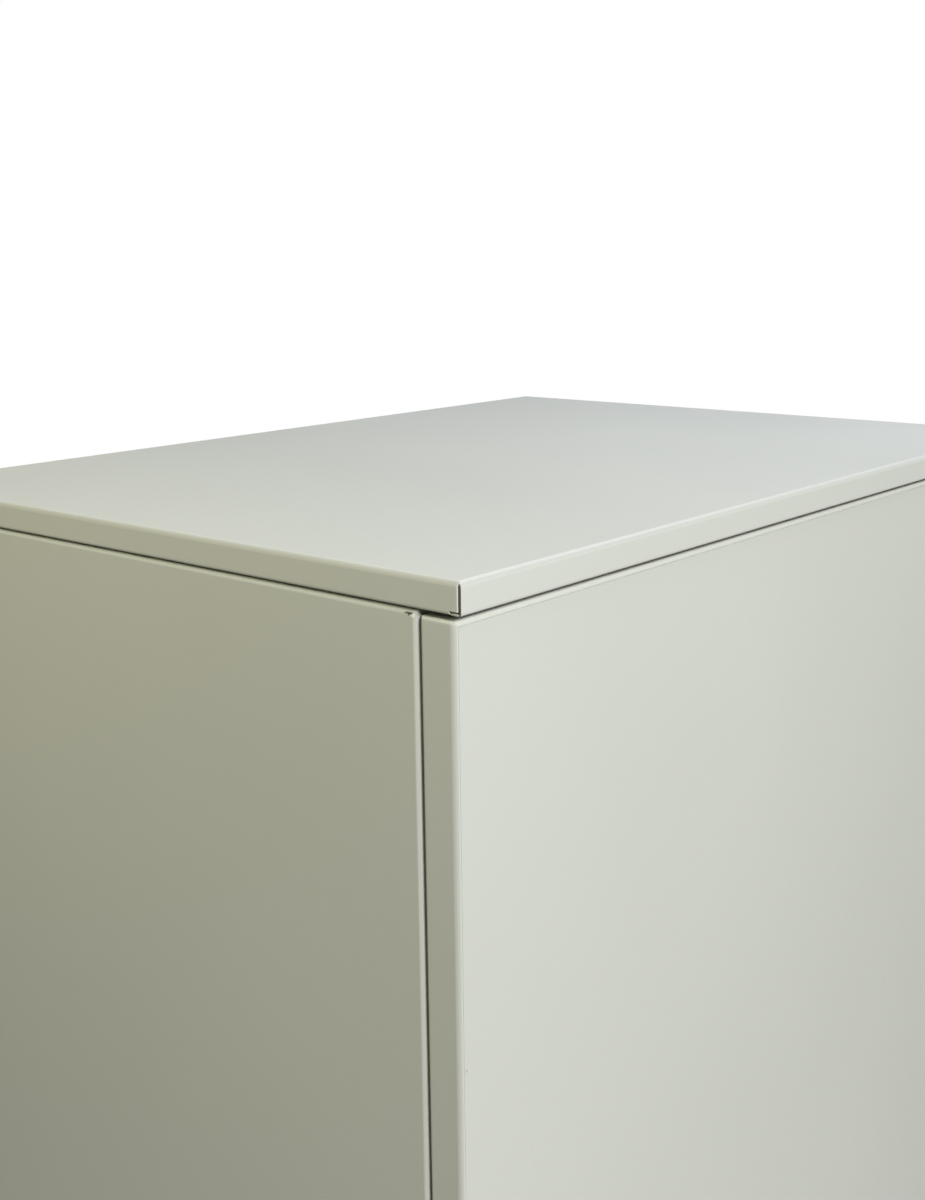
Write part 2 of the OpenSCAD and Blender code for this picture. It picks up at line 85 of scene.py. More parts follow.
class Shader:
    """Short way to add nodes to a material and link them."""

    def __init__(self, name):
        self.material = bpy.data.materials.new(name)
        self.material.use_nodes = True
        self.tree = self.material.node_tree
        self.bsdf = self.tree.nodes["Principled BSDF"]
        coords = self.tree.nodes.new("ShaderNodeTexCoord")
        self.coords = coords.outputs["Object"]

    def link(self, output, socket):
        self.tree.links.new(output, socket)

    def put(self, socket, value):
        """Links an output to a socket, or sets the socket to a plain value."""
        if isinstance(value, bpy.types.NodeSocket):
            self.link(value, socket)
        else:
            socket.default_value = value

    def noise(self, scale, detail=2.0, rough=0.5, stretch=None):
        """Noise over the object's own coordinates, which can be stretched along an axis."""
        node = self.tree.nodes.new("ShaderNodeTexNoise")
        node.inputs["Scale"].default_value = scale
        node.inputs["Detail"].default_value = detail
        node.inputs["Roughness"].default_value = rough
        source = self.coords
        if stretch:
            mapping = self.tree.nodes.new("ShaderNodeMapping")
            mapping.inputs["Scale"].default_value = stretch
            self.link(source, mapping.inputs["Vector"])
            source = mapping.outputs["Vector"]
        self.link(source, node.inputs["Vector"])
        return node.outputs["Fac"]

    def math(self, operation, a, b=0.0, c=0.0):
        node = self.tree.nodes.new("ShaderNodeMath")
        node.operation = operation
        for socket, value in zip(node.inputs, (a, b, c)):
            self.put(socket, value)
        return node.outputs[0]

    def ramp(self, value, low, high, to_low=0.0, to_high=1.0):
        """Maps low..high onto to_low..to_high, clamped."""
        node = self.tree.nodes.new("ShaderNodeMapRange")
        self.put(node.inputs["Value"], value)
        numbers = {"From Min": low, "From Max": high, "To Min": to_low, "To Max": to_high}
        for key, number in numbers.items():
            node.inputs[key].default_value = number
        return node.outputs["Result"]

    def mix(self, factor, a, b):
        """Mixes two colours."""
        node = self.tree.nodes.new("ShaderNodeMix")
        node.data_type = "RGBA"
        self.put(node.inputs["Factor"], factor)
        for key, colour in ((MIX_A, a), (MIX_B, b)):
            if isinstance(colour, bpy.types.NodeSocket):
                self.link(colour, node.inputs[key])
            else:
                node.inputs[key].default_value = (*colour[:3], 1.0)
        return node.outputs[MIX_RESULT]

    def bump(self, height, distance, strength=1.0, normal=None):
        """A bumped normal, over another one if it is given."""
        node = self.tree.nodes.new("ShaderNodeBump")
        node.inputs["Strength"].default_value = strength
        node.inputs["Distance"].default_value = distance
        self.link(height, node.inputs["Height"])
        if normal is not None:
            self.link(normal, node.inputs["Normal"])
        return node.outputs["Normal"]

    def near(self, point, radius, soft, wobble=0.0, wobble_scale=900.0):
        """1 within radius of a point, falling to 0 over soft, with a ragged edge."""
        node = self.tree.nodes.new("ShaderNodeVectorMath")
        node.operation = "DISTANCE"
        self.link(self.coords, node.inputs[0])
        node.inputs[1].default_value = point
        distance = node.outputs["Value"]
        if wobble:
            centred = self.math("SUBTRACT", self.noise(wobble_scale, 3.0), 0.5)
            ragged = self.math("MULTIPLY", centred, wobble)
            distance = self.math("ADD", distance, ragged)
        return self.ramp(distance, radius, radius + soft, 1.0, 0.0)

    def beyond(self, axis, limit, soft=0.05 * MM):
        """1 where a coordinate, without its sign, passes a limit."""
        node = self.tree.nodes.new("ShaderNodeSeparateXYZ")
        self.link(self.coords, node.inputs[0])
        return self.ramp(self.math("ABSOLUTE", node.outputs[axis]), limit, limit + soft)


def shade(colour, factor):
    """A colour made darker or lighter."""
    return tuple(min(1.0, c * factor) for c in colour[:3])


COAT = (0.585, 0.603, 0.555)
# Dark brown painted shade for the sheet's cut end in the shadowed slit of an open corner
SLIT_SHADE = (0.150, 0.105, 0.085)
CHIP_DARK = (0.010, 0.009, 0.008)
CHIP_FLAKE = (0.86, 0.87, 0.80)
# How much darker the painted shade on the bends makes the coat
BEND_SHADE = 0.82
STAIN = 0.80
# How fine each of the coat's noises is, from the widest to the finest
CLOUDS, WAVES, MOTTLE, DIMPLES, GRAIN = 4.0, 5.0, 210.0, 620.0, 2600.0


def powder_coat(name, smudges=(), marks=(), shaded_cut_ends=None, shaded_bends=()):
    """Satin powder coat: a fine grain, a faint mottle, soft clouds and a slightly uneven gloss.

    smudges are soft stains, as (point, radius, strength), and marks are sharp ones, as (point,
    radius, colour). shaded_cut_ends says from where the sheet's end gets a dark brown painted
    shade, standing for the slit's shadow at an open corner, and shaded_bends lists the bends that
    get painted shade, each as the (axis, limit) pairs that it lies past.
    """
    s = Shader(name)
    clouds = s.noise(CLOUDS, 3.0, 0.55)
    mottle = s.noise(MOTTLE, 3.0, 0.6)
    grain = s.noise(GRAIN, 2.0, 0.6)
    base = s.mix(s.ramp(clouds, 0.3, 0.7), shade(COAT, 0.985), shade(COAT, 1.012))
    base = s.mix(s.ramp(mottle, 0.3, 0.7, 0.0, 0.5), base, shade(COAT, 0.985))
    base = s.mix(s.ramp(grain, 0.62, 0.8, 0.0, 0.22), base, shade(COAT, 0.88))
    for point, radius, strength in smudges:
        cloud = s.near(point, radius * 0.2, radius, wobble=radius * 0.8, wobble_scale=60.0)
        base = s.mix(s.math("MULTIPLY", cloud, strength), base, shade(COAT, STAIN))
    for point, radius, tint in marks:
        mark = s.near(
            point, radius * 0.7, radius * 0.35, wobble=radius * 1.2, wobble_scale=1400.0
        )
        base = s.mix(mark, base, tint)
    # Painted shade: each listed bend is darkened
    for limits in shaded_bends:
        over = 1.0
        for axis, limit in limits:
            over = s.math("MULTIPLY", over, s.beyond(axis, limit, 0.8 * MM))
        base = s.mix(over, base, shade(COAT, BEND_SHADE))
    # Painted shade: the cut end in the open corner's slit is darkened to dark brown
    if shaded_cut_ends:
        slit_shade = s.math("MULTIPLY", s.beyond(0, shaded_cut_ends[0]), s.beyond(1, shaded_cut_ends[1]))
        base = s.mix(slit_shade, base, SLIT_SHADE)
    s.link(base, s.bsdf.inputs["Base Color"])
    uneven = s.ramp(mottle, 0.3, 0.7, -0.02, 0.02)
    gloss = s.math("ADD", s.ramp(clouds, 0.25, 0.75, 0.46, 0.52), uneven)
    s.link(gloss, s.bsdf.inputs["Roughness"])
    s.bsdf.inputs["IOR"].default_value = 1.47
    normal = s.bump(s.noise(WAVES, 1.0, 0.4), 0.5 * MM, 0.5)
    normal = s.bump(grain, 0.025 * MM, 0.55, normal)
    normal = s.bump(s.noise(DIMPLES, 1.0, 0.5), 0.03 * MM, 0.5, normal)
    s.link(normal, s.bsdf.inputs["Normal"])
    return s.material


def zinc_plate(name):
    """Bright zinc: crystalline patches, drawn lines and a few dull spots."""
    s = Shader(name)
    patches = s.noise(70.0, 4.0, 0.6)
    lines = s.noise(260.0, 3.0, 0.6, (1.0, 0.02, 1.0))
    base = s.mix(s.ramp(patches, 0.3, 0.7), (0.52, 0.53, 0.54), (0.68, 0.69, 0.69))
    base = s.mix(s.ramp(lines, 0.45, 0.75, 0.0, 0.35), base, (0.42, 0.43, 0.44))
    s.link(base, s.bsdf.inputs["Base Color"])
    s.bsdf.inputs["Metallic"].default_value = 1.0
    worn = s.ramp(patches, 0.3, 0.7, 0.26, 0.40)
    rough = s.math("ADD", worn, s.ramp(lines, 0.4, 0.7, 0.0, 0.06))
    s.link(rough, s.bsdf.inputs["Roughness"])
    s.link(s.bump(lines, 0.02 * MM, 0.5), s.bsdf.inputs["Normal"])
    return s.material


def satin_nickel(name):
    """Brushed nickel plate with fine lines along the pull and a faint warm tarnish."""
    s = Shader(name)
    lines = s.noise(900.0, 4.0, 0.65, (0.03, 1.0, 1.0))
    tarnish = s.noise(45.0, 3.0, 0.6)
    base = s.mix(s.ramp(tarnish, 0.35, 0.75), (0.66, 0.64, 0.60), (0.58, 0.55, 0.49))
    base = s.mix(s.ramp(lines, 0.4, 0.7, 0.0, 0.3), base, (0.50, 0.48, 0.45))
    s.link(base, s.bsdf.inputs["Base Color"])
    s.bsdf.inputs["Metallic"].default_value = 1.0
    s.link(s.ramp(lines, 0.3, 0.7, 0.22, 0.34), s.bsdf.inputs["Roughness"])
    s.link(s.bump(lines, 0.012 * MM, 0.5), s.bsdf.inputs["Normal"])
    return s.material


def moulded(name, colour, roughness, grain_scale, grain_depth):
    """Black plastic or rubber: a moulded grain with scuffs that catch the light."""
    s = Shader(name)
    grain = s.noise(grain_scale, 3.0, 0.6)
    scuffs = s.noise(60.0, 4.0, 0.7)
    base = s.mix(s.ramp(scuffs, 0.5, 0.8), colour, tuple(c + 0.03 for c in colour))
    s.link(base, s.bsdf.inputs["Base Color"])
    worn = s.ramp(scuffs, 0.3, 0.8, roughness - 0.06, roughness + 0.08)
    s.link(worn, s.bsdf.inputs["Roughness"])
    s.link(s.bump(grain, grain_depth, 0.6), s.bsdf.inputs["Normal"])
    return s.material


def card_stock(name):
    """Uncoated card with a paper fibre and a slightly yellowed edge."""
    s = Shader(name)
    fibre = s.noise(1500.0, 4.0, 0.7, (1.0, 1.0, 0.4))
    age = s.noise(18.0, 3.0, 0.6)
    base = s.mix(s.ramp(age, 0.35, 0.7), (0.84, 0.82, 0.74), (0.78, 0.75, 0.64))
    base = s.mix(s.ramp(fibre, 0.55, 0.8, 0.0, 0.3), base, (0.70, 0.67, 0.58))
    s.link(base, s.bsdf.inputs["Base Color"])
    s.bsdf.inputs["Roughness"].default_value = 0.85
    s.link(s.bump(fibre, 0.03 * MM, 0.5), s.bsdf.inputs["Normal"])
    return s.material


# ---------------------------------------------------------------- meshes


def new_piece(name, bm, matrix, material, body, nodes=()):
    """Turns a bmesh in a piece's own axes into an object at rest in the frame."""
    bmesh.ops.transform(bm, matrix=matrix, verts=bm.verts)
    bm.normal_update()
    mesh = bpy.data.meshes.new(name)
    bm.to_mesh(mesh)
    bm.free()
    mesh.shade_smooth()
    obj = bpy.data.objects.new(name, mesh)
    bpy.context.scene.collection.objects.link(obj)
    mesh.materials.append(material)
    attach(obj, body)
    if nodes:
        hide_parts(*nodes)
    return obj


def flat_shading(obj):
    """Keeps large flat faces flat beside small bends and rounded edges."""
    weighted = obj.modifiers.new("weighted", "WEIGHTED_NORMAL")
    weighted.keep_sharp = True


CUT_ROUND = 0.3 * MM


def thicken(obj):
    """Gives an outer surface its sheet thickness, and rounds the cut edges of the sheet."""
    solid = obj.modifiers.new("sheet", "SOLIDIFY")
    solid.thickness = SHEET
    solid.offset = -1.0
    solid.use_quality_normals = True
    solid.use_rim = True
    bevel = obj.modifiers.new("cut_edges", "BEVEL")
    bevel.width = CUT_ROUND
    bevel.segments = 3
    bevel.limit_method = "WEIGHT"
    bevel.use_clamp_overlap = False
    flat_shading(obj)


def arc(radius, steps, start=0.0, end=90.0):
    """(cosine, sine) times radius at even steps from start to end, in degrees."""
    for i in range(steps + 1):
        angle = math.radians(start + (end - start) * i / steps)
        yield radius * math.cos(angle), radius * math.sin(angle)


def quarter_round():
    """(1 - cosine, 1 - sine) at each step round a quarter turn."""
    turn = [math.radians(angle) for angle in (0, 30, 60, 90)]
    return [(1 - math.cos(a), 1 - math.sin(a)) for a in turn]


BEND_STEPS = 10
# Edges this far beside a bend hold its shape
SUPPORT = 0.4 * MM
# Points closer than this are one point
MERGE = 0.01 * MM
LIP_BEND = 1.3 * MM
LEDGE_BEND = 0.6 * MM
GROOVE_W = 0.34 * MM
GROOVE_DEPTH = 0.50 * MM


def wall_profile(bend, depth, lip=0.0, ledge=0.0):
    """Outer line of a wall, as (outward, down) from the face's edge.

    It goes round the bend and down the wall, then along a lip and a ledge if there are any.
    """
    points = [(s, bend - c) for c, s in arc(bend, BEND_STEPS)]
    points.append((bend, bend + SUPPORT))
    if not lip:
        points.append((bend, depth))
        return points
    points.append((bend, depth - LIP_BEND - SUPPORT))
    points += [(bend - LIP_BEND + c, depth - LIP_BEND + s) for c, s in arc(LIP_BEND, 5)]
    if not ledge:
        points += [(bend - LIP_BEND - SUPPORT, depth), (bend - lip, depth)]
        return points
    turn = LEDGE_BEND
    points.append((bend - lip + turn + SUPPORT, depth))
    points += [(bend - lip + turn - s, depth + turn - c) for c, s in arc(turn, 4)]
    points += [(bend - lip, depth + turn + SUPPORT), (bend - lip, depth + ledge)]
    return points


def span(lines, end, rounding):
    """Stations along a wall's row as (position, inward step): the face's lines, then round ends."""
    turned = [(end - rounding * s, rounding * c) for c, s in quarter_round()]
    start = [(-t, step) for t, step in reversed(turned)]
    return start + [(t, 0.0) for t in lines[1:-1]] + turned


def face_lines(half, edge, groove):
    """Where the lines over a pan's face lie along one axis: at its edges, and close inside them."""
    if groove:
        inside = [half - groove - step * GROOVE_W for step in (0, 0.5, 1)]
    else:
        inside = [edge - SUPPORT]
    return {side * at for side in (-1, 1) for at in (edge, *inside)}


# A mitred lip starts in from the wall by this share of its bend, and stays this far off the mitre
MITRE_FROM = 0.3
MITRE_GAP = 0.3 * MM
# Where a corner is open, its end turns in from one of these angles round the bend to the other
TURN_FROM, TURN_TO = 30, 60
NOTCH_STEP = 0.3 * MM
# The slit at an open corner starts this far down the bend
SLIT_START = 0.75


def folded_pan(
    w,
    l,
    bend,
    walls_x,
    walls_y,
    gap_x,
    gap_y,
    holes=(),
    groove=None,
    mitre_lips=True,
    ends=(0.0, 0.0),
    notch=None,
):
    """Outer surface of a pan folded from one sheet: a face at z = 0, w by l, and walls going down.

    walls_x and walls_y hold the profiles of the walls at -x and +x, and at -y and +y, or None.
    gap_x and gap_y say how far the ends of those walls stop short of the corner, which leaves it
    open, and ends gives the radius with which each pair's ends turn in. groove is the distance of
    a fine line from the outer edges. The walls at -y and +y can have a notch at each end, given
    as its length and height, where their lips are cut away.
    """
    bm = bmesh.new()
    edge_x = w / 2 - bend if walls_x else w / 2
    edge_y = l / 2 - bend if walls_y else l / 2
    xs = face_lines(w / 2, edge_x, groove)
    ys = face_lines(l / 2, edge_y, groove)
    notch_from = math.inf
    if notch:
        notch_from = w / 2 - gap_y - notch[0]
        xs |= {side * (notch_from + step) for side in (-1, 1) for step in (0, NOTCH_STEP)}
    for x0, x1, y0, y1 in holes:
        xs.update((x0, x1))
        ys.update((y0, y1))
    xs, ys = sorted(xs), sorted(ys)

    def groove_place(x, y):
        """How far a point lies from the middle of the groove, a ring round the field."""
        return abs(min(w / 2 - abs(x), l / 2 - abs(y)) - groove - GROOVE_W / 2)

    def face_z(x, y):
        return -GROOVE_DEPTH if groove and groove_place(x, y) < MERGE else 0.0

    def on_groove(x, y):
        return groove_place(x, y) < GROOVE_W / 2 + MERGE

    def vert(x, y, z):
        return bm.verts.new((x, y, z))

    grid = [[vert(x, y, face_z(x, y)) for y in ys] for x in xs]
    for i in range(len(xs) - 1):
        for j in range(len(ys) - 1):
            cx, cy = (xs[i] + xs[i + 1]) / 2, (ys[j] + ys[j + 1]) / 2
            if any(x0 < cx < x1 and y0 < cy < y1 for x0, x1, y0, y1 in holes):
                continue
            bm.faces.new((grid[i][j], grid[i + 1][j], grid[i + 1][j + 1], grid[i][j + 1]))
    if groove:
        # The groove's two sides meet in crisp lines
        for edge in bm.edges:
            edge.smooth = not all(on_groove(v.co.x, v.co.y) for v in edge.verts)

    both = bool(walls_x) and bool(walls_y)

    def row_end(s, down, gap, length):
        """How far a row of a wall's profile runs from the wall's middle."""
        if not both:
            return length / 2
        if s < bend and down < bend:
            return min(length / 2 - bend + s, length / 2 - gap)
        if mitre_lips and s < bend - LIP_BEND * MITRE_FROM:
            return length / 2 - max(gap, bend - s) - MITRE_GAP
        return length / 2 - gap

    def turn_share(s, down):
        """How much of its rounding a row's end has: none at the top of a bend."""
        if not (s < bend and down < bend):
            return 1.0
        angle = math.degrees(math.asin(min(1.0, s / bend)))
        return min(1.0, max(0.0, (angle - TURN_FROM) / (TURN_TO - TURN_FROM)))

    def wall(profile, side, along_x, lines, half, gap, length, rounding):
        """One wall: rows of the profile swept along its edge, each cut back at the corners."""
        rows = []
        depth = profile[-1][1]
        wall_foot = depth - LIP_BEND - SUPPORT
        for s, down in profile:
            row = []
            at_foot = along_x and abs(down - wall_foot) < MERGE
            end = row_end(s, down, gap, length)
            for t, step in span(lines, end, rounding * turn_share(s, down)):
                across = side * (half - bend + s - step)
                z = notch[1] - depth if at_foot and abs(t) > notch_from else -down
                row.append(vert(*((t, across) if along_x else (across, t)), z))
            rows.append(row)
        for (a, b), (_, down) in zip(zip(rows, rows[1:]), profile):
            for k in range(len(a) - 1):
                outer = max(abs(v.co.x if along_x else v.co.y) for v in (a[k], a[k + 1]))
                if along_x and outer > notch_from and down > wall_foot - MERGE:
                    continue
                quad = (a[k], a[k + 1], b[k + 1], b[k])
                bm.faces.new(quad if (side > 0) == (not along_x) else quad[::-1])

    for side, profile in zip((-1, 1), walls_x or ()):
        wall(profile, side, False, ys, w / 2, gap_x, l, ends[0])
    for side, profile in zip((-1, 1), walls_y or ()):
        wall(profile, side, True, xs, l / 2, gap_y, w, ends[1])
    bmesh.ops.remove_doubles(bm, verts=bm.verts, dist=MERGE)
    # The sheet's cut edges get rounded, except where a corner's slit begins
    cut = bm.edges.layers.float.new("bevel_weight_edge")
    for edge in bm.edges:
        at = (edge.verts[0].co + edge.verts[1].co) / 2
        in_corner = both and abs(at.x) > edge_x - MERGE and abs(at.y) > edge_y - MERGE
        slit = in_corner and -at.z < SLIT_START * bend
        edge[cut] = 1.0 if edge.is_boundary and not slit else 0.0
    bmesh.ops.recalc_face_normals(bm, faces=bm.faces)
    top = max(bm.faces, key=lambda f: f.calc_area())
    if top.normal.z < 0:
        bmesh.ops.reverse_faces(bm, faces=bm.faces)
    return bm


CORNER_STEPS = 6


def rounded_loop(half_w, low, high, radius):
    """A rectangle with round corners, from -half_w to half_w and low to high, as points."""
    radius = min(radius, half_w, (high - low) / 2)
    centres = (
        (half_w - radius, high - radius, 0),
        (-half_w + radius, high - radius, 90),
        (-half_w + radius, low + radius, 180),
        (half_w - radius, low + radius, 270),
    )
    return [
        (cx + c, cz + s)
        for cx, cz, start in centres
        for c, s in arc(radius, CORNER_STEPS, start, start + 90)
    ]


def loft(loops):
    """A closed skin through loops of (points, depth), capped at both ends. Depth runs along -z."""
    bm = bmesh.new()
    rows = [[bm.verts.new((x, y, -depth)) for x, y in points] for points, depth in loops]
    count = len(rows[0])
    for a, b in zip(rows, rows[1:]):
        for k in range(count):
            bm.faces.new((a[k], a[(k + 1) % count], b[(k + 1) % count], b[k]))
    bm.faces.new(rows[0])
    bm.faces.new(rows[-1][::-1])
    bmesh.ops.recalc_face_normals(bm, faces=bm.faces)
    return bm


# ---------------------------------------------------------------- the cabinet


coat = powder_coat("coat")

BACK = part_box("back_panel")
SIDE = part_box("side_panel_left")
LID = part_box("lid")
# How wide the side panels' front and rear walls are, from the nodes beside them
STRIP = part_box("rear_posts")[1].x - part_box("top_rail")[1].x + 0.8 * MM
LID_BEND = 2.6 * MM
PANEL_BEND = 2.5 * MM
SIDE_BEND = 2.4 * MM

BACK_CORNER = Vector((BACK[0].x, BACK[1].y, BACK[1].z))
SIDE_CORNER = Vector((SIDE[0].x, SIDE[1].y, HEIGHT))


def spots(corner, rows):
    """Marks given in millimetres from a corner."""
    return [(corner + Vector(offset) * MM, radius * MM, tint) for offset, radius, tint in rows]


# The chip on the back's top corner: flakes of lifted paint, then dark spots. The last is a nick.
back_marks = spots(
    BACK_CORNER,
    (
        ((2.4, -0.1, -2.7), 0.9, CHIP_FLAKE),
        ((1.2, -0.2, -2.0), 0.6, CHIP_FLAKE),
        ((5.6, -0.3, -1.4), 0.85, CHIP_DARK),
        ((4.4, -0.3, -1.5), 1.0, CHIP_DARK),
        ((3.2, -0.3, -1.4), 0.8, CHIP_DARK),
        ((6.8, -0.2, -1.8), 0.35, CHIP_DARK),
        ((4.7, 0.0, -2.6), 0.35, CHIP_DARK),
        ((47.0, -0.6, -0.9), 0.6, CHIP_DARK),
    ),
)
# Two small scuffs low on the strip beside the back
side_marks = spots(
    SIDE_CORNER,
    (
        ((0.7, -0.7, -226.4), 0.55, (0.30, 0.32, 0.26)),
        ((0.0, -4.2, -228.2), 0.9, (0.50, 0.47, 0.44)),
    ),
)
# The bends of the back, lid and sides get painted shade, darker than the flat coat
coat_back = powder_coat(
    "coat_back",
    smudges=(
        (Vector((0.036, BACK[1].y, BACK[1].z - 0.140)), 0.026, 0.05),
        (Vector((-0.060, BACK[1].y, BACK[1].z - 0.030)), 0.020, 0.04),
    ),
    marks=back_marks,
    shaded_bends=[((axis, BACK[1][axis] - 1.7 * MM),) for axis in (0, 2)],
)
# The lid's open corners get painted shade on the cut ends in their slits
coat_lid = powder_coat(
    "coat_lid",
    smudges=((Vector((-0.194, 0.040, LID[1].z)), 0.012, 0.06),),
    shaded_cut_ends=(LID[1].x - 1.05 * MM, LID[1].y - 0.95 * MM),
    shaded_bends=[((axis, LID[1][axis] - 2.0 * MM), (2, LID[1].z - 2.2 * MM)) for axis in (0, 1)],
)
coat_side = powder_coat(
    "coat_side",
    marks=side_marks,
    shaded_bends=[((0, -SIDE[0].x - 2.1 * MM), (1, SIDE[1].y - 2.1 * MM))],
)
zinc = zinc_plate("zinc")
nickel = satin_nickel("nickel")
plastic = moulded("plastic", (0.030, 0.030, 0.032), 0.45, 1400.0, 0.03 * MM)
rubber = moulded("rubber", (0.022, 0.021, 0.020), 0.70, 900.0, 0.06 * MM)
card = card_stock("card")


def facing(origin, outward):
    """Places a piece's own axes so that its face looks along outward, with its y up."""
    matrix = Matrix((Z.cross(outward), Z, outward)).transposed().to_4x4()
    matrix.translation = origin
    return matrix


def upright(node, outward):
    """Width, height, depth and placing of an upright panel across the cabinet."""
    low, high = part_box(node)
    origin = Vector((0, low.y if outward.y < 0 else high.y, (low.z + high.z) / 2))
    return high.x - low.x, high.z - low.z, high.y - low.y, facing(origin, outward)


def on_front(low, high):
    """Places a piece's own axes in the middle of the front of a box."""
    return facing(Vector(((low.x + high.x) / 2, low.y, (low.z + high.z) / 2)), -Y)


def make_lid():
    """The side flanges run right to the corners, and pass under the notched end flanges."""
    size = LID[1] - LID[0]
    lip = 5.8 * MM
    side = wall_profile(LID_BEND, size.z, lip)
    end = wall_profile(LID_BEND, size.z - 0.25 * MM, lip)
    bm = folded_pan(
        size.x,
        size.y,
        LID_BEND,
        (side, side),
        (end, end),
        0.65 * MM,
        1.15 * MM,
        mitre_lips=False,
        ends=(0, 0.65 * MM),
        notch=(4.8 * MM, 1.6 * MM),
    )
    matrix = Matrix.Translation((0, 0, LID[1].z))
    thicken(new_piece("folded_lid", bm, matrix, coat_lid, "carcass", ["lid"]))


def make_side(node, outward):
    """A side panel. Its walls are the corner strips, with lips that turn in behind them."""
    low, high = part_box(node)
    bend = SIDE_BEND
    front = wall_profile(bend, STRIP, 20 * MM)
    rear = wall_profile(bend, STRIP, 14 * MM, 14 * MM)
    top = wall_profile(bend, STRIP)
    origin = Vector((low.x if outward.x < 0 else high.x, 0, (low.z + high.z) / 2))
    matrix = facing(origin, outward)
    walls = (front, rear) if Z.cross(outward).y > 0 else (rear, front)
    bm = folded_pan(
        high.y - low.y,
        high.z - low.z,
        bend,
        walls,
        (top, top),
        0.1 * MM,
        1.4 * MM,
        groove=bend + 0.05 * MM,
        mitre_lips=False,
        ends=(1.3 * MM, 0),
    )
    thicken(new_piece("folded_" + node, bm, matrix, coat_side, "carcass", [node]))


def inset_pan(w, h, wall, holes=()):
    """A pan with the same wall all round and nearly closed corners."""
    walls = (wall, wall)
    return folded_pan(
        w, h, PANEL_BEND, walls, walls, 0.6 * MM, 0.2 * MM, holes=holes, ends=(0.8 * MM, 0)
    )


def make_back():
    """The back panel, set in between the strips."""
    w, h, d, matrix = upright("back_panel", Y)
    bm = inset_pan(w, h, wall_profile(PANEL_BEND, d, 10 * MM))
    nodes = ["back_panel"]
    thicken(new_piece("folded_back_panel", bm, matrix, coat_back, "carcass", nodes))


def make_rail(node):
    """A channel across the front, its flanges turned back. The top rail has the lock's opening."""
    w, h, d, matrix = upright(node, -Y)
    bend = 2 * MM
    wall = wall_profile(bend, d)
    holes = ()
    if node == "top_rail":
        low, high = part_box("lock_housing")
        half = 6.5 * MM
        x = (low.x + high.x) / 2
        holes = ((x - half, x + half, -half, half),)
    bm = folded_pan(w, h, bend, None, (wall, wall), 0, 0, holes=holes)
    thicken(new_piece("folded_" + node, bm, matrix, coat, "carcass", [node]))


def make_front(n):
    """A drawer front with openings for its pull and its label holder."""
    node = f"drawer_{n}_front"
    w, h, d, matrix = upright(node, -Y)
    middle = matrix.translation.z
    holes = []
    for part, inset in (("handle", 4.5 * MM), ("label_holder", 2.5 * MM)):
        low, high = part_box(f"drawer_{n}_{part}")
        bottom, top = low.z - middle + inset, high.z - middle - inset
        holes.append((low.x + inset, high.x - inset, bottom, top))
    bm = inset_pan(w, h, wall_profile(PANEL_BEND, d), holes)
    thicken(new_piece(f"folded_front_{n}", bm, matrix, coat, f"drawer_{n}", [node]))


CATCH_REACH = 10 * MM
# How far the tray's floor and its catch are above the bottom of the drawer
TRAY_UP = 14 * MM
CATCH_UP = 236 * MM


def make_tray(n):
    """A drawer's tray, folded up from its floor, with hemmed side walls."""
    low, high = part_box(f"drawer_{n}_tray")
    w = high.x - low.x - CATCH_REACH
    size = high - low
    bend = 2 * MM
    side = wall_profile(bend, size.z, 8 * MM)
    end = wall_profile(bend, size.z)
    bm = folded_pan(
        w, size.y, bend, (side, side), (end, end), 0.1 * MM, 1.2 * MM, mitre_lips=False
    )
    origin = Vector((low.x + w / 2, (low.y + high.y) / 2, low.z))
    matrix = Matrix.Translation(origin) @ Matrix.Rotation(math.pi, 4, "Y")
    obj = new_piece(f"folded_tray_{n}", bm, matrix, coat, f"drawer_{n}")
    thicken(obj)
    make_catch(n, low, high)
    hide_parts(f"drawer_{n}_tray")


def make_catch(n, low, high):
    """The lock's catch stands out from the tray's right wall, near the front."""
    steps = (
        (0.0, 0.0),
        (CATCH_REACH - 0.6 * MM, 0.0),
        (CATCH_REACH - 0.2 * MM, 0.2 * MM),
        (CATCH_REACH, 0.5 * MM),
    )
    loops = []
    for depth, shrink in steps:
        half_w, half_h = 1.0 * MM - shrink, 6 * MM - shrink
        loops.append((rounded_loop(half_w, -half_h, half_h, 0.5 * MM), -depth))
    origin = Vector((high.x - CATCH_REACH, low.y + 6.5 * MM, low.z - TRAY_UP + CATCH_UP))
    matrix = facing(origin, X)
    flat_shading(
        new_piece(f"tray_catch_{n}", loft(loops), matrix, coat, f"drawer_{n}")
    )


# The rim of a pressed piece stands this far off the sheet, and its edge is rounded this much
RIM = 0.4 * MM
RIM_ROUND = 0.35 * MM


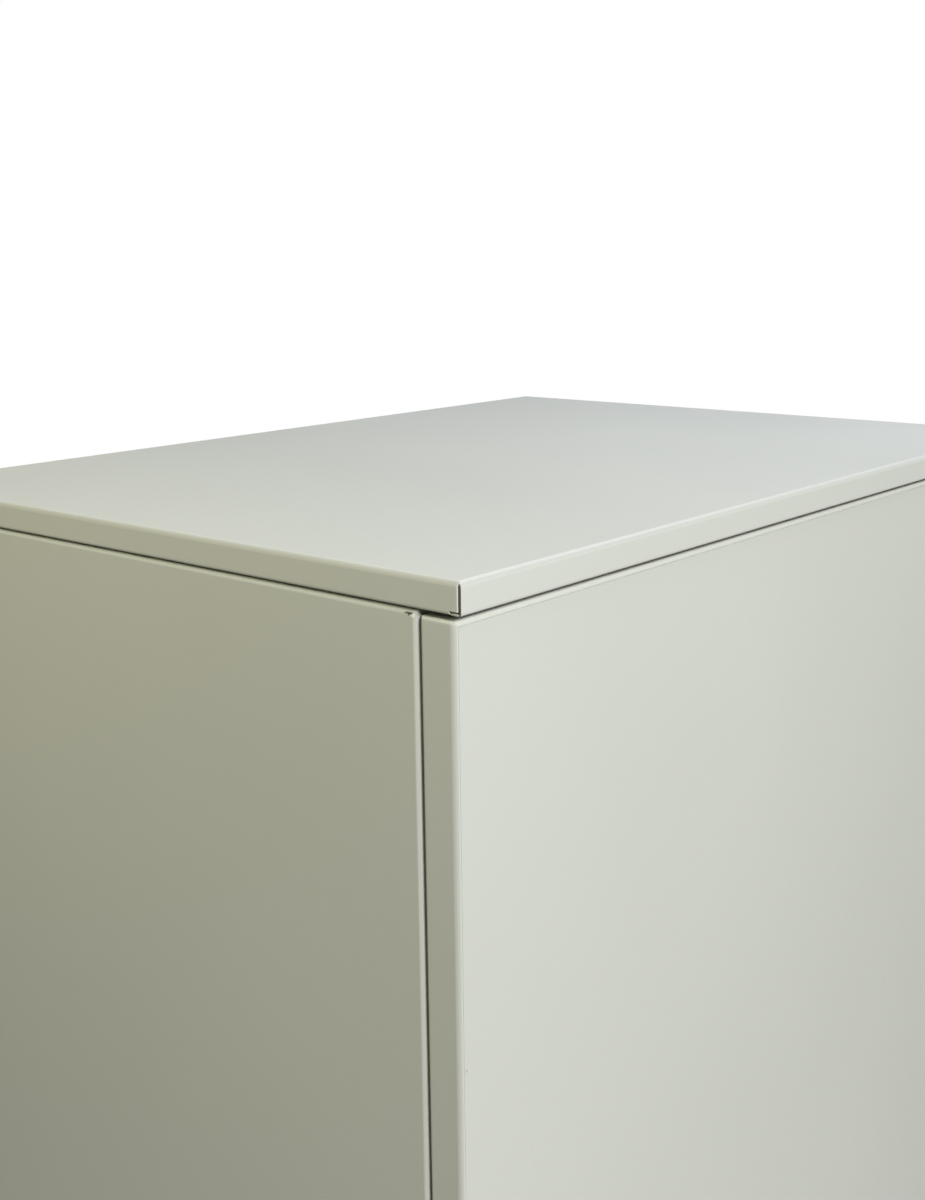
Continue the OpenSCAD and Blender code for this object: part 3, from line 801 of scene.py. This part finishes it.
def make_handle(n):
    """A recessed pull, pressed from one sheet: a round bezel, a rolled grip and a soft cup."""
    node = f"drawer_{n}_handle"
    low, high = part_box(node)
    size = high - low
    half_w, half_h = size.x / 2, size.z / 2
    wall = 1.2 * MM
    cup_w, cup_h = half_w - 4 * MM, half_h - 4 * MM
    deep = size.y
    mouth_top = cup_h - wall - 12 * MM

    def loop(w, bottom, top, radius, depth):
        return rounded_loop(w, bottom, top, radius), depth

    loops = [
        loop(cup_w - 6 * MM, -cup_h + 6 * MM, cup_h - 6 * MM, 6 * MM, deep),
        loop(cup_w - 2 * MM, -cup_h + 2 * MM, cup_h - 2 * MM, 7 * MM, deep - 1 * MM),
        loop(cup_w, -cup_h, cup_h, 8 * MM, deep - 5 * MM),
        loop(cup_w, -cup_h, cup_h, 8 * MM, RIM + 0.1 * MM),
        loop(half_w - 0.3 * MM, -half_h + 0.3 * MM, half_h - 0.3 * MM, 9 * MM, RIM),
    ]
    # Over the bezel's rounded rim and on to the mouth
    for c, t in quarter_round():
        inset = RIM_ROUND * c
        loops.append(loop(half_w - inset, -half_h + inset, half_h - inset, 9 * MM, RIM * t))
    loops.append(loop(half_w - 2.6 * MM, -half_h + 2.6 * MM, half_h - 2.6 * MM, 8 * MM, 0))
    mouth_w, mouth_low = cup_w - wall, -cup_h + wall
    lip = 1.6 * MM
    for c, t in quarter_round():
        grow = lip * t
        loops.append(
            loop(mouth_w + grow, mouth_low - grow, mouth_top + grow, 7 * MM + grow, lip * c)
        )
    # Round the back of the grip and up into the cup
    top = cup_h - wall
    loops += [
        loop(mouth_w, mouth_low, mouth_top + 0.4 * MM, 7 * MM, lip + 1.2 * MM),
        loop(mouth_w, mouth_low, mouth_top + 1.6 * MM, 7 * MM, lip + 1.9 * MM),
        loop(mouth_w, mouth_low, top - 2 * MM, 7 * MM, lip + 2.0 * MM),
        loop(mouth_w, mouth_low, top, 7 * MM, lip + 4 * MM),
        loop(
            mouth_w - 0.3 * MM,
            mouth_low + 0.6 * MM,
            top - 0.3 * MM,
            7 * MM,
            deep - wall - 5 * MM,
        ),
        loop(mouth_w - 2 * MM, mouth_low + 3 * MM, top - 2 * MM, 6 * MM, deep - wall - 1.2 * MM),
        loop(mouth_w - 6 * MM, mouth_low + 8 * MM, top - 6 * MM, 5 * MM, deep - wall),
    ]
    body, slot = f"drawer_{n}", "satin_nickel"
    matrix = on_front(low, high)
    flat_shading(new_piece(f"pull_{n}", loft(loops), matrix, nickel, body, [node]))


def centred_loop(w, h, radius, depth):
    """A rounded loop round the middle, at a depth."""
    return rounded_loop(w, -h, h, radius), depth


def make_holder(n):
    """A pressed label frame with a rounded rim and window."""
    node = f"drawer_{n}_label_holder"
    low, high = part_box(node)
    size = high - low
    half_w, half_h = size.x / 2, size.z / 2
    loops = [
        centred_loop(half_w - 2 * MM, half_h - 2 * MM, 3 * MM, size.y),
        centred_loop(half_w - 2 * MM, half_h - 2 * MM, 3 * MM, RIM + 0.1 * MM),
        centred_loop(half_w - 0.3 * MM, half_h - 0.3 * MM, 4 * MM, RIM),
    ]
    for c, t in quarter_round():
        inset = RIM_ROUND * c
        loops.append(centred_loop(half_w - inset, half_h - inset, 4 * MM, RIM * t))
    window_w, window_h = half_w - 7 * MM, half_h - 7 * MM
    lip = 1.0 * MM
    for c, t in quarter_round():
        grow = lip * t
        loops.append(centred_loop(window_w + grow, window_h + grow, 2 * MM + grow, lip * c))
    loops += [
        centred_loop(window_w, window_h, 2 * MM, 1.3 * MM),
        centred_loop(half_w - 3.8 * MM, half_h - 3.8 * MM, 1 * MM, 1.4 * MM),
        centred_loop(half_w - 3.8 * MM, half_h - 3.8 * MM, 1 * MM, 2.4 * MM),
    ]
    body, slot = f"drawer_{n}", "satin_nickel"
    matrix = on_front(low, high)
    flat_shading(new_piece(f"label_frame_{n}", loft(loops), matrix, nickel, body, [node]))


def make_card(n):
    """The blank card in a label frame."""
    node = f"drawer_{n}_label_card"
    low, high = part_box(node)
    size = high - low
    edge = 0.05 * MM
    loops = [
        centred_loop(size.x / 2, size.z / 2, 1.5 * MM, size.y),
        centred_loop(size.x / 2, size.z / 2, 1.5 * MM, edge),
        centred_loop(size.x / 2 - edge, size.z / 2 - edge, 1.5 * MM, 0),
    ]
    body, slot = f"drawer_{n}", "label_card"
    matrix = on_front(low, high)
    flat_shading(new_piece(f"card_{n}", loft(loops), matrix, card, body, [node]))


make_lid()
make_side("side_panel_left", -X)
make_side("side_panel_right", X)
make_back()
make_rail("top_rail")
make_rail("plinth_rail")
for number in DRAWERS:
    make_front(number)
    make_tray(number)
    make_handle(number)
    make_holder(number)
    make_card(number)


# ---------------------------------------------------------------- carried-over nodes


FINISHES = {
    "powder_coat": coat,
    "zinc_plate": zinc,
    "satin_nickel": nickel,
    "black_plastic": plastic,
    "black_rubber": rubber,
    "label_card": card,
}


def finish_nodes():
    """Gives every CAD node its material."""
    slots = {row["node"]: row["material_slot"] for row in frame["record"]["subparts"]}
    for name, obj in frame["nodes"].items():
        obj.data.materials.clear()
        obj.data.materials.append(FINISHES[slots[name]])


finish_nodes()


# ---------------------------------------------------------------- floor, light and camera


FLOOR_RADIUS = 2.7
# The floor is solid this far out, and has faded away this much further on
FLOOR_SOLID, FLOOR_FADE = 0.9, 1.7


def make_floor():
    """A pale disc that fades into the white background."""
    bm = bmesh.new()
    bmesh.ops.create_circle(bm, cap_ends=True, radius=FLOOR_RADIUS, segments=96)
    mesh = bpy.data.meshes.new("floor")
    bm.to_mesh(mesh)
    bm.free()
    floor = bpy.data.objects.new("floor", mesh)
    bpy.context.scene.collection.objects.link(floor)
    s = Shader("floor")
    s.bsdf.inputs["Base Color"].default_value = (0.70, 0.70, 0.685, 1)
    s.bsdf.inputs["Roughness"].default_value = 0.8
    s.link(s.near((0, 0, 0), FLOOR_SOLID, FLOOR_FADE), s.bsdf.inputs["Alpha"])
    mesh.materials.append(s.material)


FILL = 0.03


def make_world():
    """White behind the object, and a trace of fill light."""
    world = bpy.data.worlds.new("studio")
    bpy.context.scene.world = world
    world.use_nodes = True
    tree = world.node_tree
    fill = tree.nodes["Background"]
    fill.inputs["Color"].default_value = (1, 1, 1, 1)
    fill.inputs["Strength"].default_value = FILL
    white = tree.nodes.new("ShaderNodeBackground")
    white.inputs["Color"].default_value = (1, 1, 1, 1)
    white.inputs["Strength"].default_value = 1.0
    path = tree.nodes.new("ShaderNodeLightPath")
    mixer = tree.nodes.new("ShaderNodeMixShader")
    tree.links.new(path.outputs["Is Camera Ray"], mixer.inputs["Fac"])
    tree.links.new(fill.outputs[0], mixer.inputs[1])
    tree.links.new(white.outputs[0], mixer.inputs[2])
    tree.links.new(mixer.outputs[0], tree.nodes["World Output"].inputs["Surface"])


WHITE = (1.0, 1.0, 1.0)
KEY_TINT = (1.01, 1.005, 0.98)
WARM = (1.20, 1.12, 0.68)
COOL = (0.94, 0.97, 1.13)
# Name, place, target, size in metres, power in watts and colour of each light
LIGHTS = (
    ("key", (-2.8, 1.1, 2.75), (-0.22, 0.2, 1.2), 1.1, 121.0, KEY_TINT),
    ("back", (0.3, 0.9, 1.9), (0, 0.31, 1.25), 0.7, 2.75, WARM),
    ("back_far", (0.1, 1.35, 1.75), (0, 0.31, 1.25), 0.9, 0.8, WARM),
    ("top", (-0.2, -0.5, 2.4), (0, 0, 1.3), 1.2, 11.6, COOL),
    ("front", (0.9, -2.4, 0.85), (0, -0.3, 0.7), 0.9, 22.0, WHITE),
    ("right", (2.4, -0.3, 0.85), (0.2, 0, 0.7), 0.9, 14.0, WHITE),
)


def soft_light(name, place, target, size, power, colour):
    """A round lamp that the camera doesn't see."""
    data = bpy.data.lights.new(name, "AREA")
    data.shape = "DISK"
    data.size = size
    data.energy = power
    data.color = colour
    light = bpy.data.objects.new(name, data)
    light.location = place
    aim = Vector(target) - Vector(place)
    light.rotation_euler = aim.to_track_quat("-Z", "Y").to_euler()
    light.visible_camera = False
    bpy.context.scene.collection.objects.link(light)


# The photograph's view, solved from its perspective: millimetres, metres and degrees
LENS = 45.19
CAMERA_PLACE = (-0.6202, 0.7706, HEIGHT + 0.1370)
AZIMUTH, ELEVATION, ROLL = 220.517, 13.395, -0.731


def make_camera():
    """Standing behind the cabinet's rear left corner, looking slightly down on it."""
    data = bpy.data.cameras.new("camera")
    data.lens = LENS
    data.sensor_width = 36.0
    cam = bpy.data.objects.new("camera", data)
    azimuth, elevation, roll = (math.radians(a) for a in (AZIMUTH, ELEVATION, ROLL))
    back = Vector(
        (
            math.sin(azimuth) * math.cos(elevation),
            -math.cos(azimuth) * math.cos(elevation),
            math.sin(elevation),
        )
    )
    turn = (-back).to_track_quat("-Z", "Y").to_matrix().to_4x4()
    turn = turn @ Matrix.Rotation(roll, 4, "Z")
    cam.matrix_world = Matrix.Translation(CAMERA_PLACE) @ turn
    data.clip_start = 0.02
    data.clip_end = 100
    bpy.context.scene.collection.objects.link(cam)
    bpy.context.scene.camera = cam


make_floor()
make_world()
for row in LIGHTS:
    soft_light(*row)
make_camera()
bpy.context.scene.view_settings.view_transform = "Standard"
